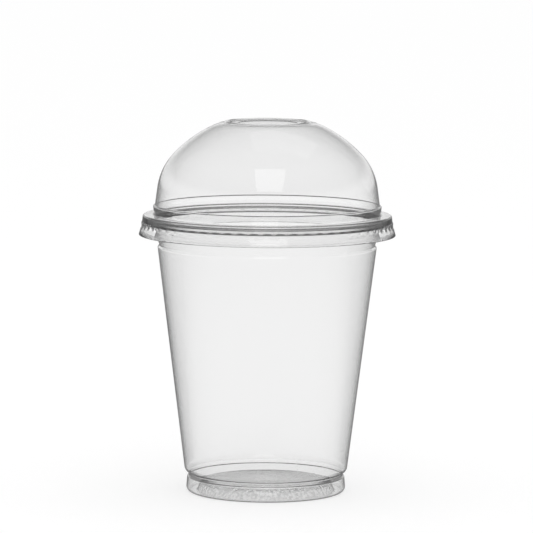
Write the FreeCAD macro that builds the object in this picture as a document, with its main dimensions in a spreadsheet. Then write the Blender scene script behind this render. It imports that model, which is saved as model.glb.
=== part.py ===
import FreeCAD, Part
import math
import os
import Sketcher
from FreeCAD import Placement, Rotation, Vector

# A clear formed plastic cup with a rolled rim, and the domed lid that snaps over that rim.
# Both are bodies of revolution about Z, drawn as the line of one thin sheet, and stand on z = 0.

doc = FreeCAD.newDocument("plastic_cup_with_lid")
sheet = doc.addObject("Spreadsheet::Sheet", "Sizes")

# Lengths are in millimetres and angles in degrees.
SIZES = {
    # The cup: its sheet, its rolled rim and the collar below the rim
    "cup_height": 105.9,
    "rim_diameter": 94.8,
    "cup_wall": 0.35,
    "curl_width": 4.1,
    "curl_depth": 2.6,
    "curl_roundness": 0.38,
    "curl_tail": 2.0,
    "collar_draw": 0.35,
    "collar_straight": 5.1,
    "collar_round": 5,
    "groove_drop": 10.6,
    "groove_inset": 6.1,
    "groove_round": 0.5,
    "shoulder_drop": 11.5,
    "shoulder_inset": 5.4,
    # The cup: the foot of its wall, the neck, the foot ring and the raised bottom panel
    "foot_diameter": 61.5,
    "foot_round": 1.9,
    "wall_overhang": 0.6,
    "wall_rise": 2.4,
    "wall_round": 3,
    "neck_height": 7.2,
    "neck_inset": 1.35,
    "neck_round": 0.45,
    "foot_lip": 0.5,
    "foot_flare": 0.85,
    "ring_width": 4.5,
    "ring_round": 0.9,
    "panel_step": 2.2,
    "panel_height": 4.4,
    "panel_round": 0.7,
    # The lid: its sheet and its fit on the rim
    "lid_wall": 0.3,
    "lid_inner_bend": 0.08,
    "seat_gap": 0.1,
    "rim_gap": 0.25,
    "snap_gap": 0.12,
    "snap_drop": 0.3,
    # The lid: the channel over the rim and the flared skirt
    "channel_draw": 0.35,
    "bead_rise": 0.15,
    "bead_height": 0.55,
    "skirt_flare": 1.45,
    "skirt_depth": 3.8,
    # The lid: the flutes pressed into the skirt
    "flute_count": 60,
    "flute_share": 0.5,
    "flute_length": 2.2,
    "flute_floor": 0.4,
    # The lid: the band above the rim and the dome
    "shelf_width": 3.7,
    "band_height": 4.0,
    "band_waist": 0.35,
    "waist_height": 1.1,
    "waist_round": 2,
    "ledge_width": 0.7,
    "ledge_rise": 0.6,
    "dome_draft": 7.5,
    "dome_round": 23.2,
    "crown_spread": 6.4,
    # The lid: the flat land on top, the raised ring and the round hole
    "land_rise": 35.7,
    "land_width": 1.85,
    "land_round": 0.4,
    "top_ring_width": 1.5,
    "top_ring_lean": 0.35,
    "top_ring_rise": 0.75,
    "web_width": 4.1,
    "web_sink": 0.6,
    "hole_diameter": 22.6,
}

for row, (alias, value) in enumerate(SIZES.items(), 1):
    sheet.set(f"A{row}", alias)
    sheet.set(f"B{row}", str(value))
    sheet.setAlias(f"B{row}", alias)
doc.recompute()

# Places that both pieces measure from, as formulas on the sheet of sizes
RIM = "Sizes.rim_diameter / 2"
RIM_LINE = f"{RIM} - Sizes.cup_wall"
CURL_ROUND = "(Sizes.curl_depth - 2 * Sizes.cup_wall) * Sizes.curl_roundness"
CURL_TOP = "Sizes.cup_height - Sizes.cup_wall"
CURL_FOOT = "Sizes.cup_height - Sizes.curl_depth + Sizes.cup_wall"
FOOT = "Sizes.foot_diameter / 2"
SEAT = "Sizes.cup_height + Sizes.seat_gap + Sizes.lid_wall"
CHANNEL = f"{RIM} + Sizes.rim_gap + Sizes.lid_wall"
SNAP = f"{RIM} + Sizes.snap_gap + Sizes.lid_wall"
SNAP_HEIGHT = "Sizes.cup_height - Sizes.curl_depth - Sizes.snap_drop"
BAND = f"{RIM} - Sizes.shelf_width"
BAND_TOP = f"{SEAT} + Sizes.band_height"
DOME = f"{BAND} - Sizes.ledge_width"
DOME_FOOT = f"{BAND_TOP} + Sizes.ledge_rise"
CROWN = f"{DOME} + Sizes.crown_spread"
HOLE = "Sizes.hole_diameter / 2"
WEB = f"{HOLE} + Sizes.web_width"
TOP_RING = f"{WEB} + Sizes.top_ring_width"
LAND = f"{TOP_RING} + Sizes.land_width"
LAND_HEIGHT = f"{SEAT} + Sizes.land_rise"
LID_BEND = "Sizes.lid_wall + Sizes.lid_inner_bend"


def value_of(formula):
    """The number that a formula on the sheet of sizes gives."""
    return float(sheet.evalExpression(str(formula).replace("Sizes.", "")))


def dimension(sketch, kind, places, formula, name):
    """Add a named dimension to a sketch and bind it to its formula."""
    number = sketch.addConstraint(Sketcher.Constraint(kind, *places, value_of(formula)))
    sketch.renameConstraint(number, name)
    sketch.setExpression(f"Constraints.{name}", formula)


def pin(sketch, geometry, end, out, up, name):
    """Fix a point of the sketch at its distance from the axis and its height above the base."""
    if out == "0":
        sketch.addConstraint(Sketcher.Constraint("PointOnObject", geometry, end, -2))
    else:
        dimension(sketch, "DistanceX", (-1, 1, geometry, end), out, f"{name}_out")
    if up == "0":
        sketch.addConstraint(Sketcher.Constraint("PointOnObject", geometry, end, -1))
    else:
        dimension(sketch, "DistanceY", (-1, 1, geometry, end), up, f"{name}_up")


def upright_sketch(name):
    """A sketch on the XZ plane, with its own Y axis along Z."""
    sketch = doc.addObject("Sketcher::SketchObject", name)
    sketch.Placement = Placement(Vector(), Rotation(Vector(1, 0, 0), 90))
    return sketch


def corner_arc(before, corner, after, radius):
    """The points where a round of this radius starts, peaks and ends in a corner."""
    back = (before - corner).normalize()
    ahead = (after - corner).normalize()
    half = back.getAngle(ahead) / 2
    reach = radius / math.tan(half)
    centre = corner + (back + ahead).normalize() * (radius / math.sin(half))
    peak = centre + (corner - centre).normalize() * radius
    return corner + back * reach, peak, corner + ahead * reach


def sheet_line(sketch, corners, free_start=None):
    """Draw one run of the sheet through its corners, each (name, out, up, round or None).

    A run may begin at a free point, which only its neighbours hold. Returns the run's lines.
    """
    points = [Vector(value_of(out), value_of(up), 0) for _, out, up, _ in corners]
    if free_start:
        points.insert(0, free_start)
        corners = [("free", None, None, None)] + corners
    rounds = {}
    for number in range(1, len(corners) - 1):
        if corners[number][3]:
            radius = value_of(corners[number][3])
            rounds[number] = corner_arc(points[number - 1], points[number], points[number + 1], radius)

    lines = []
    for number in range(len(points) - 1):
        start = rounds[number][2] if number in rounds else points[number]
        stop = rounds[number + 1][0] if number + 1 in rounds else points[number + 1]
        lines.append(sketch.addGeometry(Part.LineSegment(start, stop), False))

    for number, (name, out, up, round_size) in enumerate(corners):
        if out is None:
            continue
        if number in rounds:
            arc = sketch.addGeometry(Part.Arc(*rounds[number]), False)
            starts_here = sketch.getPoint(arc, 1).isEqual(rounds[number][0], 1e-6)
            first, second = (1, 2) if starts_here else (2, 1)
            corner = sketch.addGeometry(Part.Point(points[number]), True)
            sketch.addConstraint([
                Sketcher.Constraint("Tangent", lines[number - 1], 2, arc, first),
                Sketcher.Constraint("Tangent", arc, second, lines[number], 1),
                Sketcher.Constraint("PointOnObject", corner, 1, lines[number - 1]),
                Sketcher.Constraint("PointOnObject", corner, 1, lines[number]),
            ])
            dimension(sketch, "Radius", (arc,), round_size, f"{name}_round")
            pin(sketch, corner, 1, out, up, name)
        elif number < len(lines):
            if number > 0:
                sketch.addConstraint(Sketcher.Constraint("Coincident", lines[number - 1], 2, lines[number], 1))
            pin(sketch, lines[number], 1, out, up, name)
        else:
            pin(sketch, lines[-1], 2, out, up, name)
    return lines


def formed_sheet(sketch, wall, name):
    """Thicken the line towards the inside of the piece and turn it about the axis."""
    section = doc.addObject("Part::Offset2D", f"{name}_section")
    section.Source = sketch
    section.Mode = "Skin"
    section.Join = "Arc"
    section.Fill = True
    section.setExpression("Value", f"-{wall}")
    turned = doc.addObject("Part::Revolution", name)
    turned.Source = section
    turned.Axis = Vector(0, 0, 1)
    turned.Base = Vector(0, 0, 0)
    turned.Angle = 360
    turned.Solid = True
    return turned


def make_cup():
    """The cup: rolled rim, collar, stacking groove, tapered wall, foot ring and raised bottom."""
    collar_top = f"{RIM_LINE} - Sizes.curl_width + 2 * Sizes.cup_wall"
    ring_inner = f"{FOOT} - Sizes.ring_width"
    line = upright_sketch("cup_line")
    sheet_line(line, [
        ("tail", f"{RIM_LINE} - Sizes.curl_tail", CURL_FOOT, None),
        ("curl_foot", RIM_LINE, CURL_FOOT, CURL_ROUND),
        ("curl_top", RIM_LINE, CURL_TOP, CURL_ROUND),
        ("collar_top", collar_top, CURL_TOP, CURL_ROUND),
        ("collar_foot", f"{collar_top} - Sizes.collar_draw",
         "Sizes.cup_height - Sizes.collar_straight", "Sizes.collar_round"),
        ("groove", f"{RIM} - Sizes.groove_inset", "Sizes.cup_height - Sizes.groove_drop", "Sizes.groove_round"),
        ("shoulder", f"{RIM} - Sizes.shoulder_inset",
         "Sizes.cup_height - Sizes.shoulder_drop", "Sizes.groove_round"),
        ("wall_foot", f"{FOOT} + Sizes.wall_overhang", "Sizes.neck_height + Sizes.wall_rise", "Sizes.wall_round"),
        ("neck", f"{FOOT} - Sizes.neck_inset", "Sizes.neck_height", "Sizes.neck_round"),
        ("foot_top", f"{FOOT} - Sizes.foot_flare", "Sizes.neck_height - Sizes.foot_lip", "Sizes.neck_round"),
        ("foot", FOOT, "0", "Sizes.foot_round"),
        ("ring_inside", ring_inner, "0", "Sizes.ring_round"),
        ("panel_edge", f"{ring_inner} - Sizes.panel_step", "Sizes.panel_height", "Sizes.panel_round"),
        ("panel_centre", "0", "Sizes.panel_height", None),
    ])
    cup = formed_sheet(line, "Sizes.cup_wall", "cup")
    cup.Label = "cup"
    return cup


def dome_points():
    """Where the dome's wall ends and where the centres of its shoulder and its crown lie."""
    crown = value_of(CROWN)
    shoulder = value_of("Sizes.dome_round")
    draft = math.radians(value_of("Sizes.dome_draft"))
    up_wall = Vector(-math.sin(draft), math.cos(draft), 0)
    outward = Vector(math.cos(draft), math.sin(draft), 0)
    crown_centre = Vector(0, value_of(LAND_HEIGHT) - math.sqrt(crown ** 2 - value_of(LAND) ** 2), 0)

    # The shoulder's centre lies on the wall moved in by its radius, and touches the crown from inside
    foot = Vector(value_of(DOME), value_of(DOME_FOOT), 0)
    inner_foot = foot - outward * shoulder - crown_centre
    along = inner_foot.dot(up_wall)
    length = math.sqrt(along ** 2 - inner_foot.dot(inner_foot) + (crown - shoulder) ** 2) - along
    wall_end = foot + up_wall * length
    return wall_end, wall_end - outward * shoulder, crown_centre


def add_dome(line, land_line, wall_line, shoulder_centre, crown_centre):
    """Join the land to the dome's drafted wall by a crown arc and a shoulder arc."""
    axis = Vector(0, 0, 1)
    to_join = shoulder_centre - crown_centre
    join_angle = math.atan2(to_join.y, to_join.x)
    land_angle = math.atan2(value_of(LAND_HEIGHT) - crown_centre.y, value_of(LAND))
    draft = math.radians(value_of("Sizes.dome_draft"))
    crown_circle = Part.Circle(crown_centre, axis, value_of(CROWN))
    shoulder_circle = Part.Circle(shoulder_centre, axis, value_of("Sizes.dome_round"))
    crown = line.addGeometry(Part.ArcOfCircle(crown_circle, join_angle, land_angle), False)
    shoulder = line.addGeometry(Part.ArcOfCircle(shoulder_circle, draft, join_angle), False)
    line.addConstraint([
        Sketcher.Constraint("PointOnObject", crown, 3, -2),
        Sketcher.Constraint("Coincident", crown, 2, land_line, 2),
        Sketcher.Constraint("Tangent", crown, 1, shoulder, 2),
        Sketcher.Constraint("Tangent", shoulder, 1, wall_line, 1),
    ])
    dimension(line, "Radius", (crown,), CROWN, "crown")
    dimension(line, "Radius", (shoulder,), "Sizes.dome_round", "dome_shoulder")
    wall_angle = line.addConstraint(Sketcher.Constraint("Angle", wall_line, draft - math.pi / 2))
    line.renameConstraint(wall_angle, "dome_wall")
    line.setExpression("Constraints.dome_wall", "Sizes.dome_draft - 90")


def make_lid_shell():
    """The plain lid: hole, raised ring, dome, band, channel over the rim and flared skirt."""
    ring_top = f"{LAND_HEIGHT} + Sizes.top_ring_rise"
    web_height = f"{ring_top} - Sizes.web_sink"
    line = upright_sketch("lid_line")
    top = sheet_line(line, [
        ("hole", HOLE, web_height, None),
        ("web", WEB, web_height, "Sizes.land_round"),
        ("ring_in", f"{WEB} + Sizes.top_ring_lean", ring_top, LID_BEND),
        ("ring_out", f"{TOP_RING} - Sizes.top_ring_lean", ring_top, LID_BEND),
        ("ring_foot", TOP_RING, LAND_HEIGHT, "Sizes.land_round"),
        ("land", LAND, LAND_HEIGHT, None),
    ])
    wall_end, shoulder_centre, crown_centre = dome_points()
    side = sheet_line(line, [
        ("dome_foot", DOME, DOME_FOOT, LID_BEND),
        ("ledge", BAND, BAND_TOP, LID_BEND),
        ("waist", f"{BAND} - Sizes.band_waist", f"{SEAT} + Sizes.waist_height", "Sizes.waist_round"),
        ("shelf", BAND, SEAT, LID_BEND),
        ("channel_top", f"{CHANNEL} - Sizes.channel_draw", SEAT, LID_BEND),
        ("channel_foot", CHANNEL, f"{SNAP_HEIGHT} + 2 * Sizes.bead_height", None),
        ("bead", f"{CHANNEL} + Sizes.bead_rise", f"{SNAP_HEIGHT} + Sizes.bead_height", LID_BEND),
        ("snap", SNAP, SNAP_HEIGHT, LID_BEND),
        ("skirt", f"{SNAP} + Sizes.skirt_flare", f"{SNAP_HEIGHT} - Sizes.skirt_depth", None),
    ], free_start=wall_end)
    add_dome(line, top[-1], side[0], shoulder_centre, crown_centre)
    return formed_sheet(line, "Sizes.lid_wall", "lid_shell")


def flute_feature(body, kind, name, corners, angle):
    """Turn a small closed outline by one flute's angle, and repeat it round the skirt."""
    planes = {feature.Role: feature for feature in body.Origin.OriginFeatures}
    outline = body.newObject("Sketcher::SketchObject", f"{name}_outline")
    outline.AttachmentSupport = [(planes["XZ_Plane"], "")]
    outline.MapMode = "FlatFace"
    points = [Vector(value_of(out), value_of(up), 0) for _, out, up in corners]
    for start, stop in zip(points, points[1:] + points[:1]):
        outline.addGeometry(Part.LineSegment(start, stop), False)
    for number, (corner, out, up) in enumerate(corners):
        after = (number + 1) % len(corners)
        outline.addConstraint(Sketcher.Constraint("Coincident", number, 2, after, 1))
        pin(outline, number, 1, out, up, corner)
    doc.recompute()

    turned = body.newObject(kind, name)
    turned.Profile = outline
    turned.ReferenceAxis = (outline, ["V_Axis"])
    turned.Midplane = True
    turned.setExpression("Angle", angle)
    pattern = body.newObject("PartDesign::PolarPattern", f"{name}_ring")
    pattern.Originals = [turned]
    pattern.Axis = (planes["Z_Axis"], [""])
    pattern.Angle = 360
    pattern.setExpression("Occurrences", "Sizes.flute_count")
    body.Tip = pattern
    doc.recompute()


def make_lid():
    """The lid: the plain shell with short upright flutes pressed into the top of its skirt."""
    lid = doc.addObject("PartDesign::Body", "dome_lid")
    lid.Label = "dome_lid"
    lid.BaseFeature = make_lid_shell()
    doc.recompute()

    # Each flute drops straight down from the skirt just below the snap, so its sheet bends inwards
    start = f"{SNAP_HEIGHT} - Sizes.lid_wall"
    inner = f"{SNAP} - Sizes.lid_wall / 2"
    slope = "Sizes.skirt_flare / Sizes.skirt_depth"
    floor = f"{SNAP_HEIGHT} - Sizes.flute_length"
    skirt_at_floor = f"{inner} + (Sizes.flute_length + Sizes.flute_floor) * {slope}"
    angle = "360 / Sizes.flute_count * Sizes.flute_share"
    sides = f"2 * Sizes.lid_wall / ({RIM}) * 180 / pi"
    flute_feature(lid, "PartDesign::Revolution", "flute", [
        ("top", inner, start),
        ("floor", inner, floor),
        ("foot", skirt_at_floor, f"{floor} - Sizes.flute_floor"),
    ], f"{angle} + {sides}")
    flute_feature(lid, "PartDesign::Groove", "flute_face", [
        ("top", f"{inner} + Sizes.lid_wall", start),
        ("floor", f"{inner} + Sizes.lid_wall", f"{floor} + Sizes.lid_wall"),
        ("foot", f"{SNAP} + Sizes.skirt_flare", f"{floor} + Sizes.lid_wall - Sizes.flute_floor"),
        ("air", f"{SNAP} + Sizes.skirt_flare", start),
    ], angle)
    return lid


pieces = [make_cup(), make_lid()]
doc.recompute()

for item in doc.Objects:
    if "Invalid" in item.State or "Error" in item.State:
        raise RuntimeError(f"{item.Label} could not be worked out: {item.State}")
for piece in pieces:
    if piece.Shape.isNull() or not piece.Shape.isValid():
        raise RuntimeError(f"{piece.Label} has no valid shape")

os.makedirs("parts", exist_ok=True)
for piece in pieces:
    piece.Shape.exportStep(f"parts/{piece.Label}.step")
    print(f"{piece.Label}: {len(piece.Shape.Solids)} solid, {piece.Shape.Volume:.1f} mm3")
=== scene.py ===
import math

import bmesh
import bpy
from mathutils import Euler, Matrix, Vector, noise


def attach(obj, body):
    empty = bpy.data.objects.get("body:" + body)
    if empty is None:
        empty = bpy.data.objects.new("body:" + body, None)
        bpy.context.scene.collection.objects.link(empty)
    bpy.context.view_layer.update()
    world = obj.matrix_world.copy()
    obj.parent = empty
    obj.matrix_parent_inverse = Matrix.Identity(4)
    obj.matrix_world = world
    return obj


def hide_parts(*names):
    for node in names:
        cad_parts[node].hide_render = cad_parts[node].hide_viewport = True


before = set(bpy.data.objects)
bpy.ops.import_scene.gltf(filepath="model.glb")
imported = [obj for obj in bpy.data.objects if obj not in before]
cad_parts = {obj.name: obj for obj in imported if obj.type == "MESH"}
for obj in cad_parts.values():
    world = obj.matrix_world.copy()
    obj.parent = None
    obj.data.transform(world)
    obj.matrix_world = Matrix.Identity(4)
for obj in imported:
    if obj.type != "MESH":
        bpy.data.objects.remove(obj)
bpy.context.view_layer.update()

# The camera. A long lens about a metre and a half in front of the cup gives the photograph's view: a
# little above the lid, looking down by six degrees, with the picture turned slightly clockwise.
CAMERA_DISTANCE = 1.525
CAMERA_HEIGHT = 0.256
CAMERA_SIDE = -0.0002
CAMERA_PITCH = 6.33
CAMERA_ROLL = 0.35
SENSOR_WIDTH = 36.0
LENS = 270.2

camera_data = bpy.data.cameras.new("camera")
camera_data.sensor_width = SENSOR_WIDTH
camera_data.lens = LENS
camera = bpy.data.objects.new("camera", camera_data)
bpy.context.scene.collection.objects.link(camera)
looking = Euler((math.radians(90 - CAMERA_PITCH), 0, 0)).to_matrix()
camera.matrix_world = Matrix.LocRotScale(
    Vector((CAMERA_SIDE, -CAMERA_DISTANCE, CAMERA_HEIGHT)),
    (looking @ Matrix.Rotation(math.radians(CAMERA_ROLL), 3, "Z")).to_quaternion(),
    None,
)
bpy.context.scene.camera = camera

# The studio. A wide white floor that runs to the horizon, a white room round it, and the dimmer
# surroundings that clear plastic mirrors. Two soft boxes, one in front and one overhead, give the
# pale window shapes on the dome.
FLOOR_RADIUS = 40.0
FLOOR_SIDES = 96
FLOOR_COLOUR = (0.36, 0.36, 0.36, 1)
FLOOR_GLOW = (0.62, 0.62, 0.62, 1)
FLOOR_MIRRORED = (0.26, 0.26, 0.26, 1)
# The room's brightness from the level up, as pairs (sine of the angle above the level, brightness).
SEEN_ROOM = [(0.2, 1), (0.55, 0.35)]
MIRRORED_ROOM = [(0, 0.4), (0.04, 0.85), (0.1, 1), (0.17, 0.95), (0.33, 0.42), (0.5, 0.48), (0.8, 0.62)]
ROOM_LIGHT = (1.04, 1.04, 1.04, 1)
SOFT_BOXES = {
    "front_soft_box": {
        "elevation": 43.0, "away": 1.3, "aside": 0.05, "size": (0.62, 1.05), "brightness": 0.95,
    },
    "top_soft_box": {
        "elevation": 108.0, "away": 1.2, "aside": 0.2, "size": (0.8, 0.6), "brightness": 0.25,
    },
}
SOFT_BOX_AIM = 0.12
LIGHT_BOUNCES = 24
MIRROR_BOUNCES = 12


def add_node(tree, kind, **settings):
    """Add a node, set its plain properties and return it."""
    node = tree.nodes.new(kind)
    for name, value in settings.items():
        setattr(node, name, value)
    return node


def grey_ramp(tree, factor, stops):
    """A ramp of greys along a factor, from (place, brightness) pairs."""
    ramp = add_node(tree, "ShaderNodeValToRGB")
    elements = ramp.color_ramp.elements
    while len(elements) < len(stops):
        elements.new(0.5)
    for element, (place, grey) in zip(elements, stops):
        element.position = place
        element.color = (grey, grey, grey, 1)
    tree.links.new(factor, ramp.inputs[0])
    return ramp.outputs["Color"]


def has_met(tree, depth):
    """Whether a ray has met a surface of a kind, from that kind's depth on the Light Path node."""
    met = add_node(tree, "ShaderNodeMath", operation="GREATER_THAN")
    tree.links.new(depth, met.inputs[0])
    met.inputs[1].default_value = 0.5
    return met.outputs[0]


def ray_kinds(tree):
    """Whether a ray has met a matt surface, and whether it has only been mirrored by the plastic."""
    rays = add_node(tree, "ShaderNodeLightPath")
    matt = has_met(tree, rays.outputs["Diffuse Depth"])
    gloss = has_met(tree, rays.outputs["Glossy Depth"])
    only_gloss = add_node(tree, "ShaderNodeMath", operation="GREATER_THAN")
    tree.links.new(gloss, only_gloss.inputs[0])
    tree.links.new(matt, only_gloss.inputs[1])
    return matt, only_gloss.outputs[0]


def mixed_colour(tree, factor, first, second):
    """Blend a linked colour with a second one, linked or plain, by a factor.

    The node's colour sockets share their names with its other sockets, so they go by number.
    """
    mix = add_node(tree, "ShaderNodeMix", data_type="RGBA")
    tree.links.new(factor, mix.inputs[0])
    tree.links.new(first, mix.inputs[6])
    if isinstance(second, tuple):
        mix.inputs[7].default_value = second
    else:
        tree.links.new(second, mix.inputs[7])
    return mix.outputs[2]


world = bpy.data.worlds.new("studio")
bpy.context.scene.world = world
world.use_nodes = True
sky = world.node_tree
sky.nodes.clear()
direction = add_node(sky, "ShaderNodeTexCoord")
split = add_node(sky, "ShaderNodeSeparateXYZ")
sky.links.new(direction.outputs["Generated"], split.inputs[0])
seen = grey_ramp(sky, split.outputs["Z"], SEEN_ROOM)
mirrored = grey_ramp(sky, split.outputs["Z"], MIRRORED_ROOM)
lights_floor, in_mirror = ray_kinds(sky)
room = mixed_colour(sky, in_mirror, seen, mirrored)
all_room = mixed_colour(sky, lights_floor, room, ROOM_LIGHT)
background = add_node(sky, "ShaderNodeBackground")
sky.links.new(all_room, background.inputs["Color"])
sky_output = add_node(sky, "ShaderNodeOutputWorld")
sky.links.new(background.outputs[0], sky_output.inputs["Surface"])

bpy.ops.mesh.primitive_circle_add(vertices=FLOOR_SIDES, radius=FLOOR_RADIUS, fill_type="NGON")
floor = bpy.context.object
floor.name = "floor"
paper = bpy.data.materials.new("white_floor")
paper.use_nodes = True
floor_tree = paper.node_tree
floor_tree.nodes.clear()
lit = add_node(floor_tree, "ShaderNodeBsdfDiffuse")
lit.inputs["Color"].default_value = FLOOR_COLOUR
glow = add_node(floor_tree, "ShaderNodeEmission")
glow.inputs["Color"].default_value = FLOOR_GLOW
bright = add_node(floor_tree, "ShaderNodeAddShader")
floor_tree.links.new(lit.outputs[0], bright.inputs[0])
floor_tree.links.new(glow.outputs[0], bright.inputs[1])
dim = add_node(floor_tree, "ShaderNodeEmission")
dim.inputs["Color"].default_value = FLOOR_MIRRORED
floor_mix = add_node(floor_tree, "ShaderNodeMixShader")
floor_tree.links.new(ray_kinds(floor_tree)[1], floor_mix.inputs[0])
floor_tree.links.new(bright.outputs[0], floor_mix.inputs[1])
floor_tree.links.new(dim.outputs[0], floor_mix.inputs[2])
floor_output = add_node(floor_tree, "ShaderNodeOutputMaterial")
floor_tree.links.new(floor_mix.outputs[0], floor_output.inputs["Surface"])
floor.data.materials.append(paper)

for name, box in SOFT_BOXES.items():
    light = bpy.data.lights.new(name, "AREA")
    light.shape = "RECTANGLE"
    light.size, light.size_y = box["size"]
    light.energy = box["brightness"] * math.pi * light.size * light.size_y
    lamp = bpy.data.objects.new(name, light)
    lamp.visible_camera = False
    bpy.context.scene.collection.objects.link(lamp)
    tilt = math.radians(box["elevation"])
    lamp.location = (
        box["aside"],
        -box["away"] * math.cos(tilt),
        SOFT_BOX_AIM + box["away"] * math.sin(tilt),
    )
    lamp.rotation_euler = (math.radians(90) - tilt, 0, 0)

scene = bpy.context.scene
scene.view_settings.view_transform = "Standard"
scene.cycles.max_bounces = LIGHT_BOUNCES
scene.cycles.transmission_bounces = LIGHT_BOUNCES
scene.cycles.glossy_bounces = MIRROR_BOUNCES
scene.cycles.caustics_reflective = True
scene.cycles.caustics_refractive = True

# The cup. One thin sheet of clear plastic, heated and drawn down into a mould: a rolled rim, a collar
# with a stacking groove, a tapered wall, and a foot ring round a raised bottom panel with a fine stipple.
CUP_WALL = 0.00035
CUP_HEIGHT = 0.1059
RIM_RADIUS = 0.0474
ROLL_WIDTH = 0.0041
ROLL_DEPTH = 0.0026
ROLL_ROUND = 0.00072
TUCK_RADIUS = 0.0451
TUCK_HEIGHT = 0.10495
TUCK_ROUND = 0.00045
NECK_RADIUS = 0.0296
FOOT_RADIUS = 0.03075
CUP_SEGMENTS = 256
ARC_STEP = math.radians(14)
LEAST_ARC_STEPS = 3
EDGE_TURNS = [math.radians(turn) for turn in (30, 60, 90, 120, 150)]
SHARP_ANGLE = math.radians(40)
ON_AXIS = 1e-7

roll_side = RIM_RADIUS - CUP_WALL
roll_top = CUP_HEIGHT - CUP_WALL
roll_under = CUP_HEIGHT - ROLL_DEPTH + CUP_WALL
collar_top = RIM_RADIUS - ROLL_WIDTH + CUP_WALL

# The cup's line, corner by corner: how far out, how high, and the rounds on its outside and inside.
# The rim is rolled outwards and down, so there the sheet's outside is the hollow of the roll.
CUP_CORNERS = {
    "tucked_end": (0.0463, TUCK_HEIGHT, 0, 0),
    "tuck_top": (TUCK_RADIUS, TUCK_HEIGHT, TUCK_ROUND, TUCK_ROUND + CUP_WALL),
    "tuck_foot": (TUCK_RADIUS, roll_under, TUCK_ROUND, TUCK_ROUND + CUP_WALL),
    "roll_foot": (roll_side, roll_under, ROLL_ROUND, ROLL_ROUND + CUP_WALL),
    "roll_top": (roll_side, roll_top, ROLL_ROUND, ROLL_ROUND + CUP_WALL),
    "collar_top": (collar_top, roll_top, ROLL_ROUND, ROLL_ROUND + CUP_WALL),
    "collar_lean": (0.0433, 0.1008, 0.005, 0.005),
    "groove": (0.0413, 0.0953, 0.0005, 0.0004),
    "wall_top": (0.0420, 0.0944, 0.0005, 0.0004),
    "wall_foot": (0.0312, 0.0080, 0.0026, 0.0022),
    "neck_top": (NECK_RADIUS, 0.0073, 0.0004, 0.00075),
    "neck_foot": (NECK_RADIUS, 0.0062, 0.0003, 0.00065),
    "foot_lip": (0.0303, 0.0058, 0.0005, 0.00015),
    "foot": (FOOT_RADIUS, 0, 0.0019, 0.0015),
    "ring_inside": (0.02625, 0, 0.0009, 0.0006),
    "panel_edge": (0.0247, 0.0038, 0.0016, 0.0016),
    "panel_lift": (0.012, 0.0043, 0.06, 0.06),
    "panel_centre": (0, 0.0046, 0, 0),
}

# The plastic of the cup. Its faint grey is painted darker where the sheet is seen edge-on, most of all
# where it is bent tight: painted shade. The underside of the foot and the bottom panel are stippled.
PLASTIC_IOR = 1.5
# Painted shade: each list of (how edge-on, grey) pairs darkens the colour as the sheet turns edge-on,
# near black in the roll.
CUP_TINT_AND_PAINTED_SHADE = [(0.5, 0.965), (0.92, 0.93)]
ROLL_TINT_AND_PAINTED_SHADE = [(0.2, 0.97), (0.5, 0.1), (0.8, 0.001)]
NECK_TINT_AND_PAINTED_SHADE = [(0.4, 0.965), (0.62, 0.35)]
LIP_TINT_AND_PAINTED_SHADE = [(0.2, 0.965), (0.36, 0.12)]
SHEET_HAZE = (0.0, 0.012)
HAZE_PATCHES = 60.0
CUP_RIPPLE = 0.006
RIPPLE_DEPTH = 0.00002
RIPPLE_STRETCH = (1, 1, 0.3)
SCRATCH_SPREAD = 0.05
SCRATCH_TURN = (0.5, 0.9, 0.3)
SCRATCH_STRETCH = (1, 1, 0.12)
SCRATCH_LINE = [(0, 1), (0.005, 0)]
SCRATCHED_PLACES = [(0.6, 0), (0.66, 1)]
SCRATCH_ROUGHNESS = 0.15
FOOT_STIPPLE = {"greys": [(0.4, 0.66), (0.6, 1)], "grain": 0.0011, "depth": 0.00008}
PANEL_STIPPLE = {"greys": [(0.4, 0.96), (0.6, 1)], "grain": 0.0012, "depth": 0.00003}
STIPPLE_HAZE = (0.03, 0.2)

# Where each plastic of the cup lies, as radii and heights.
STIPPLED_RADIUS = 0.0263
STIPPLED_TOP = 0.006
PANEL_RADIUS = 0.024
ROLL_FROM = 0.1030
NECK_ZONE = (0.0069, 0.0092)
LIP_ZONE = (0.00575, 0.0066)


def bent_line(corners):
    """Points (out, up) along a line through corners (out, up, round), with an arc in each round."""
    places = [Vector(corner[:2]) for corner in corners]
    points = [places[0]]
    for number in range(1, len(corners)):
        here = places[number]
        if number == len(corners) - 1 or not corners[number][2]:
            points.append(here)
            continue
        back = (places[number - 1] - here).normalized()
        ahead = (places[number + 1] - here).normalized()
        half = back.angle(ahead) / 2
        radius = corners[number][2]
        centre = here + (back + ahead).normalized() * (radius / math.sin(half))
        start = here + back * (radius / math.tan(half)) - centre
        turn = math.pi - 2 * half
        side = 1 if back.x * ahead.y - back.y * ahead.x < 0 else -1
        steps = max(LEAST_ARC_STEPS, math.ceil(turn / ARC_STEP))
        for step in range(steps + 1):
            angle = side * turn * step / steps
            swung = Vector((
                start.x * math.cos(angle) - start.y * math.sin(angle),
                start.x * math.sin(angle) + start.y * math.cos(angle),
            ))
            points.append(centre + swung)
    return points


def sheet_faces(corners, wall):
    """The outside and the inside line of a sheet, from corners (out, up, outside round, inside round)."""
    corners = list(corners)
    places = [Vector(corner[:2]) for corner in corners]
    moved = []
    for number, here in enumerate(places):
        runs = [places[number] - places[number - 1]] if number else []
        runs += [places[number + 1] - here] if number < len(places) - 1 else []
        normals = [Vector((run.y, -run.x)).normalized() for run in runs]
        mean = sum(normals, Vector((0, 0))).normalized()
        moved.append(here + mean * (wall / mean.dot(normals[0])))
    inside = [(point.x, point.y, corner[-1]) for point, corner in zip(moved, corners)]
    return bent_line(corners), bent_line(inside)


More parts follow.
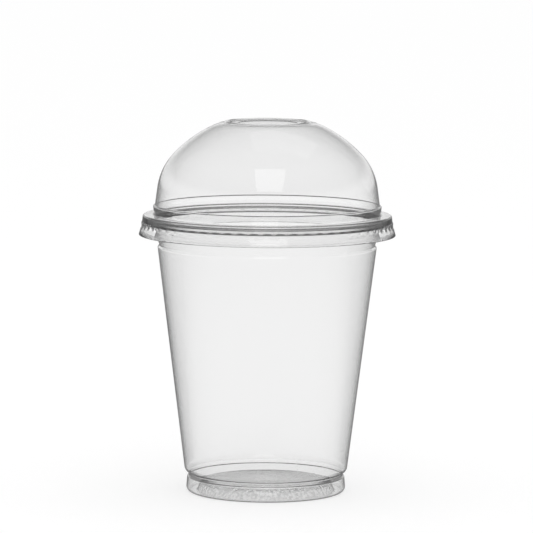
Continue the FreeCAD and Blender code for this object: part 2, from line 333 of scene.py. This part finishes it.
def trimmed_end(start, stop, ahead):
    """Points round the trimmed edge of a sheet, bulging ahead between its two faces."""
    middle = (start + stop) / 2
    half = (start - stop) / 2
    bulge = ahead.normalized() * half.length
    return [middle + half * math.cos(turn) + bulge * math.sin(turn) for turn in EDGE_TURNS]


def turn_sheet(name, loop, segments, nudge=None):
    """Turn a closed line of points about the axis, and return the object and each face's point.

    nudge(point number, step) gives how far a point of the line is pressed in towards the axis.
    """
    form = bmesh.new()
    rings = []
    for number, point in enumerate(loop):
        if point.x < ON_AXIS:
            rings.append([form.verts.new((0, 0, point.y))])
            continue
        ring = []
        for step in range(segments):
            turn = 2 * math.pi * step / segments
            out = point.x - (nudge(number, step) if nudge else 0)
            ring.append(form.verts.new((out * math.cos(turn), out * math.sin(turn), point.y)))
        rings.append(ring)
    starts = []
    for number, ring in enumerate(rings):
        after = rings[(number + 1) % len(rings)]
        if len(ring) == len(after) == 1:
            continue
        for step in range(segments):
            ahead = (step + 1) % segments
            if len(ring) == 1:
                form.faces.new((ring[0], after[ahead], after[step]))
            elif len(after) == 1:
                form.faces.new((ring[step], ring[ahead], after[0]))
            else:
                form.faces.new((ring[step], ring[ahead], after[ahead], after[step]))
            starts.append(number)
    bmesh.ops.recalc_face_normals(form, faces=form.faces)
    mesh = bpy.data.meshes.new(name)
    form.to_mesh(mesh)
    form.free()
    mesh.shade_smooth()
    mesh.set_sharp_from_angle(angle=SHARP_ANGLE)
    piece = bpy.data.objects.new(name, mesh)
    bpy.context.scene.collection.objects.link(piece)
    return piece, starts


def lies_flat(run):
    """Whether a stretch of a line goes at least twice as far out or in as it goes up or down."""
    return abs(run.x) > 2 * abs(run.y)


def give_plastics(piece, starts, plastics, chosen):
    """Put the plastics on a piece, each face's by chosen(point number), a name in the plastics."""
    for plastic in plastics.values():
        piece.data.materials.append(plastic)
    order = list(plastics)
    for face, number in zip(piece.data.polygons, starts):
        face.material_index = order.index(chosen(number))


def clear_plastic(
    name, tint_and_painted_shade, ripple, clearness=1, haze=SHEET_HAZE, depth=RIPPLE_DEPTH, spread=SCRATCH_SPREAD
):
    """Glossy clear sheet: slow ripples from the drawing, patches of haze, and a few fine scratches.

    tint_and_painted_shade is a list of (how edge-on, grey) pairs for the colour, which paints shade on
    the sheet as it turns edge-on. ripple and spread are the sizes of the ripples and of the cells that
    the scratches outline, and depth is how deep the ripples are.
    """
    material = bpy.data.materials.new(name)
    material.use_nodes = True
    tree = material.node_tree
    shader = tree.nodes["Principled BSDF"]
    shader.inputs["IOR"].default_value = PLASTIC_IOR
    shader.inputs["Transmission Weight"].default_value = clearness
    # Painted shade: the colour darkens as the sheet turns edge-on.
    edge_on = add_node(tree, "ShaderNodeLayerWeight").outputs["Facing"]
    tree.links.new(grey_ramp(tree, edge_on, tint_and_painted_shade), shader.inputs["Base Color"])
    place = add_node(tree, "ShaderNodeTexCoord").outputs["Object"]

    drawn = add_node(tree, "ShaderNodeMapping")
    drawn.inputs["Scale"].default_value = RIPPLE_STRETCH
    tree.links.new(place, drawn.inputs["Vector"])
    waves = add_node(tree, "ShaderNodeTexNoise")
    waves.inputs["Scale"].default_value = 1 / ripple
    waves.inputs["Detail"].default_value = 1.0
    tree.links.new(drawn.outputs[0], waves.inputs["Vector"])

    scored = add_node(tree, "ShaderNodeMapping")
    scored.inputs["Rotation"].default_value = SCRATCH_TURN
    scored.inputs["Scale"].default_value = SCRATCH_STRETCH
    tree.links.new(place, scored.inputs["Vector"])
    cells = add_node(tree, "ShaderNodeTexVoronoi", feature="DISTANCE_TO_EDGE")
    cells.inputs["Scale"].default_value = 1 / spread
    tree.links.new(scored.outputs[0], cells.inputs["Vector"])
    hairline = grey_ramp(tree, cells.outputs["Distance"], SCRATCH_LINE)
    patches = add_node(tree, "ShaderNodeTexNoise")
    patches.inputs["Scale"].default_value = 1 / (2 * spread)
    tree.links.new(place, patches.inputs["Vector"])
    where = grey_ramp(tree, patches.outputs["Fac"], SCRATCHED_PLACES)
    scratches = add_node(tree, "ShaderNodeMath", operation="MULTIPLY")
    tree.links.new(hairline, scratches.inputs[0])
    tree.links.new(where, scratches.inputs[1])

    cloud = add_node(tree, "ShaderNodeTexNoise")
    cloud.inputs["Scale"].default_value = HAZE_PATCHES
    cloud.inputs["Detail"].default_value = 3.0
    tree.links.new(place, cloud.inputs["Vector"])
    rough = add_node(tree, "ShaderNodeMapRange")
    rough.inputs["To Min"].default_value = haze[0]
    rough.inputs["To Max"].default_value = haze[1]
    tree.links.new(cloud.outputs["Fac"], rough.inputs["Value"])
    scuffed = add_node(tree, "ShaderNodeMath", operation="MULTIPLY_ADD")
    tree.links.new(scratches.outputs[0], scuffed.inputs[0])
    scuffed.inputs[1].default_value = SCRATCH_ROUGHNESS
    tree.links.new(rough.outputs[0], scuffed.inputs[2])
    tree.links.new(scuffed.outputs[0], shader.inputs["Roughness"])

    bump = add_node(tree, "ShaderNodeBump")
    bump.inputs["Strength"].default_value = 1.0
    bump.inputs["Distance"].default_value = depth
    tree.links.new(waves.outputs["Fac"], bump.inputs["Height"])
    tree.links.new(bump.outputs[0], shader.inputs["Normal"])
    return material


def stippled_plastic(name, greys, grain, depth):
    """Clear sheet with a fine stippled finish, which scatters the light and shows as mottled grey."""
    material = bpy.data.materials.new(name)
    material.use_nodes = True
    tree = material.node_tree
    shader = tree.nodes["Principled BSDF"]
    shader.inputs["IOR"].default_value = PLASTIC_IOR
    shader.inputs["Transmission Weight"].default_value = 1
    place = add_node(tree, "ShaderNodeTexCoord").outputs["Object"]
    blotches = add_node(tree, "ShaderNodeTexNoise")
    blotches.inputs["Scale"].default_value = 1 / grain
    blotches.inputs["Detail"].default_value = 4.0
    tree.links.new(place, blotches.inputs["Vector"])
    tree.links.new(grey_ramp(tree, blotches.outputs["Fac"], greys), shader.inputs["Base Color"])
    dots = add_node(tree, "ShaderNodeTexVoronoi")
    dots.inputs["Scale"].default_value = 1 / grain
    tree.links.new(place, dots.inputs["Vector"])
    rough = add_node(tree, "ShaderNodeMapRange")
    rough.inputs["To Min"].default_value = STIPPLE_HAZE[0]
    rough.inputs["To Max"].default_value = STIPPLE_HAZE[1]
    tree.links.new(dots.outputs["Distance"], rough.inputs["Value"])
    tree.links.new(rough.outputs[0], shader.inputs["Roughness"])
    bump = add_node(tree, "ShaderNodeBump")
    bump.inputs["Distance"].default_value = depth
    tree.links.new(dots.outputs["Distance"], bump.inputs["Height"])
    tree.links.new(bump.outputs[0], shader.inputs["Normal"])
    return material


cup_outside, cup_inside = sheet_faces(CUP_CORNERS.values(), CUP_WALL)
# The panel's upper face ends on the axis too.
cup_inside[-1].x = 0
tail_end = trimmed_end(cup_inside[0], cup_outside[0], cup_outside[0] - cup_outside[1])
cup_loop = cup_outside + cup_inside[::-1] + tail_end


def cup_plastic(number):
    """The plastic of the cup's faces that start at a point of its line."""
    point, after = cup_loop[number], cup_loop[(number + 1) % len(cup_loop)]
    low = min(point.y, after.y)
    if max(point.x, after.x) < STIPPLED_RADIUS and max(point.y, after.y) < STIPPLED_TOP:
        return "panel" if lies_flat(after - point) and min(point.x, after.x) < PANEL_RADIUS else "foot"
    if low > ROLL_FROM:
        return "roll"
    if number < len(cup_outside) and NECK_ZONE[0] < low < NECK_ZONE[1]:
        return "neck"
    if number < len(cup_outside) and LIP_ZONE[0] < low < LIP_ZONE[1]:
        return "lip"
    return "wall"


cup, cup_starts = turn_sheet("clear_cup", cup_loop, CUP_SEGMENTS)
# The roll, neck and foot-lip plastics differ from the wall only in stronger painted shade edge-on.
give_plastics(cup, cup_starts, {
    "wall": clear_plastic("clear_cup_plastic", CUP_TINT_AND_PAINTED_SHADE, CUP_RIPPLE),
    "foot": stippled_plastic("stippled_foot", **FOOT_STIPPLE),
    "roll": clear_plastic("rolled_rim_plastic_painted_shade", ROLL_TINT_AND_PAINTED_SHADE, CUP_RIPPLE),
    "neck": clear_plastic("neck_plastic_painted_shade", NECK_TINT_AND_PAINTED_SHADE, CUP_RIPPLE),
    "panel": stippled_plastic("stippled_panel", **PANEL_STIPPLE),
    "lip": clear_plastic("foot_lip_plastic_painted_shade", LIP_TINT_AND_PAINTED_SHADE, CUP_RIPPLE),
}, cup_plastic)
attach(cup, "cup")
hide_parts("cup")

# The dome lid. A thinner sheet of clear plastic drawn up into a dome, with a flat land, a raised ring
# and a punched hole on top. Its band and channel clip over the cup's rolled rim, and short upright
# lugs stiffen the flared skirt below the clip.
LID_WALL = 0.0003
LID_BEND = 0.00038
HOLE_EDGE = 0.0113
RING_TOP = 0.14275
CROWN_RADIUS = 0.0494
SHOULDER_RADIUS = 0.0232
DOME_DRAFT = math.radians(7.5)
DOME_STEP = math.radians(3.5)
LAND_EDGE = Vector((0.01875, 0.142))
DOME_FOOT = Vector((0.04306, 0.1105))
SHELF_HEIGHT = 0.1069
SKIRT_EDGE = Vector((0.04919, 0.09935))
LUG_TOP = 0.10415
LUG_FACE = 0.04772
LUG_TURN = 0.1029
LUG_FOOT = 0.1014
LUG_SLOPE = 0.55
LUGS = 60
STEPS_A_LUG = 6
PRESSED_STEPS = (0, 1, 5)
CUT_WAVER = 0.00005
CUT_WAVES = 30

# The lid's plastic: painted shade edge-on in the band and channel, and hazy with painted shade at cut
# edges.
# Painted shade: each list darkens the colour as the sheet turns edge-on; the cut edge is painted dark
# even face-on.
LID_TINT_AND_PAINTED_SHADE = [(0.5, 0.957), (0.92, 0.95)]
BAND_TINT_AND_PAINTED_SHADE = [(0.4, 0.957), (0.9, 0.03)]
CHANNEL_TINT_AND_PAINTED_SHADE = [(0.3, 0.957), (0.6, 0.05), (0.85, 0.001)]
TRIM_PAINTED_SHADE = [(0.3, 0.4), (0.9, 0.05)]
LID_RIPPLE = 0.007
TRIM_FINISH = {"ripple": 0.0004, "clearness": 0.9, "haze": (0.1, 0.4), "depth": 0.00006, "spread": 0.01}

# Where each plastic of the lid lies, as radii and heights.
BAND_TOP = 0.1113
SHELF_CLEAR = 0.108
CHANNEL_RADIUS = 0.047
CHANNEL_FROM = 0.1037


def dome_arc(centre, radius, start, stop):
    """Points along an arc of the dome, from one angle above the level to another."""
    steps = math.ceil(abs(stop - start) / DOME_STEP)
    angles = [start + (stop - start) * step / steps for step in range(steps + 1)]
    return [centre + Vector((math.cos(angle), math.sin(angle))) * radius for angle in angles]


# The crown is an arc about the axis that ends at the land, and the shoulder a tighter one that meets
# both the crown and the leaning wall smoothly.
crown_centre = Vector((0, LAND_EDGE.y - math.sqrt(CROWN_RADIUS ** 2 - LAND_EDGE.x ** 2)))
wall_out = Vector((math.cos(DOME_DRAFT), math.sin(DOME_DRAFT)))
wall_up = Vector((-wall_out.y, wall_out.x))
from_crown = DOME_FOOT - wall_out * SHOULDER_RADIUS - crown_centre
along = from_crown.dot(wall_up)
across = (CROWN_RADIUS - SHOULDER_RADIUS) ** 2 - from_crown.dot(from_crown)
wall_length = math.sqrt(along ** 2 + across) - along
wall_end = DOME_FOOT + wall_up * wall_length
shoulder_centre = wall_end - wall_out * SHOULDER_RADIUS
meeting = math.atan2(shoulder_centre.y - crown_centre.y, shoulder_centre.x)
land_angle = math.atan2(LAND_EDGE.y - crown_centre.y, LAND_EDGE.x)

# The lid's line above and below the dome, corner by corner, with its numbers in the cup's order.
TOP_CORNERS = {
    "hole_edge": (HOLE_EDGE, 0.14215, 0, 0),
    "ring_foot": (0.0154, 0.14215, 0.0004, 0.0004),
    "ring_inside": (0.01575, RING_TOP, LID_BEND, 0.0002),
    "ring_outside": (0.01655, RING_TOP, LID_BEND, 0.0002),
    "land": (0.0169, LAND_EDGE.y, 0.0004, 0.0004),
    "land_edge": (LAND_EDGE.x, LAND_EDGE.y, 0, 0),
}
SIDE_CORNERS = {
    "wall_end": (wall_end.x, wall_end.y, 0, 0),
    "dome_foot": (DOME_FOOT.x, DOME_FOOT.y, 0.00025, 0.0005),
    "ledge_edge": (0.0438, 0.1104, 0.00045, 0.0002),
    "band_waist": (0.0435, 0.1079, 0.004, 0.004),
    "band_foot": (0.0437, SHELF_HEIGHT, LID_BEND, LID_BEND),
    "channel_top": (0.04765, SHELF_HEIGHT, 0.0008, 0.0005),
    "channel_foot": (0.04795, 0.1043, 0.0002, 0.0002),
    "skirt_top": (0.04825, 0.1039, 0.0002, 0.0002),
    "lug_face": (0.0482, 0.1034, 0, 0),
    "lug_turn": (0.04815, LUG_TURN, 0, 0),
    "flare": (0.04828, 0.1021, 0, 0),
    "flare_foot": (0.04834, 0.1018, 0, 0),
    "lug_foot": (0.04862, LUG_FOOT, 0, 0),
    "skirt_edge": (SKIRT_EDGE.x, SKIRT_EDGE.y, 0, 0),
}
top_outside, top_inside = sheet_faces(TOP_CORNERS.values(), LID_WALL)
side_outside, side_inside = sheet_faces(SIDE_CORNERS.values(), LID_WALL)


def dome_run(wall):
    """The dome's crown and shoulder, drawn in by the wall."""
    crown = dome_arc(crown_centre, CROWN_RADIUS - wall, land_angle, meeting)
    shoulder = dome_arc(shoulder_centre, SHOULDER_RADIUS - wall, meeting, DOME_DRAFT)
    return crown[1:] + shoulder[1:-1]


lid_outside = top_outside + dome_run(0) + side_outside
lid_inside = top_inside + dome_run(LID_WALL) + side_inside
skirt_end = trimmed_end(lid_outside[-1], lid_inside[-1], lid_outside[-1] - lid_outside[-2])
hole_end = trimmed_end(lid_inside[0], lid_outside[0], lid_outside[0] - lid_outside[1])
lid_loop = lid_outside + skirt_end + lid_inside[::-1] + hole_end
# The places on the lid's line where its inside and its punched edge start.
inside_start = len(lid_outside) + len(skirt_end)
hole_start = inside_start + len(lid_inside)


def lid_nudge(number, step):
    """How far a point is pressed in: the lugs under the rim, and the waver of the punched edge."""
    if number >= hole_start:
        turn = 2 * math.pi * step / (LUGS * STEPS_A_LUG)
        spot = Vector((math.cos(turn) * CUT_WAVES, math.sin(turn) * CUT_WAVES, number))
        return CUT_WAVER * noise.noise(spot)
    partner = number if number < len(lid_outside) else hole_start - 1 - number
    if step % STEPS_A_LUG not in PRESSED_STEPS or partner not in range(len(lid_outside)):
        return 0
    point = lid_outside[partner]
    if not LUG_FOOT < point.y < LUG_TOP:
        return 0
    return max(0, point.x - LUG_FACE - max(0, LUG_TURN - point.y) * LUG_SLOPE)


def lid_plastic(number):
    """The plastic of the lid's faces that start at a point of its line."""
    run = lid_loop[(number + 1) % len(lid_loop)] - lid_loop[number]
    middle = lid_loop[number] + run / 2
    if number >= hole_start - 1 or len(lid_outside) - 1 <= number < inside_start:
        return "trimmed"
    if lies_flat(run) and middle.y < SHELF_CLEAR:
        return "dome"
    if CHANNEL_FROM < middle.y < SHELF_HEIGHT and middle.x > CHANNEL_RADIUS:
        return "channel"
    return "band" if middle.y < BAND_TOP else "dome"


lid, lid_starts = turn_sheet("dome_lid_sheet", lid_loop, LUGS * STEPS_A_LUG, lid_nudge)
# The band and channel plastics carry stronger painted shade edge-on; the trimmed edge is hazy and has
# painted shade.
give_plastics(lid, lid_starts, {
    "dome": clear_plastic("clear_lid_plastic", LID_TINT_AND_PAINTED_SHADE, LID_RIPPLE),
    "trimmed": clear_plastic("trimmed_edge_painted_shade", TRIM_PAINTED_SHADE, **TRIM_FINISH),
    "band": clear_plastic("band_plastic_painted_shade", BAND_TINT_AND_PAINTED_SHADE, LID_RIPPLE),
    "channel": clear_plastic("channel_plastic_painted_shade", CHANNEL_TINT_AND_PAINTED_SHADE, LID_RIPPLE),
}, lid_plastic)
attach(lid, "lid")
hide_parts("dome_lid")
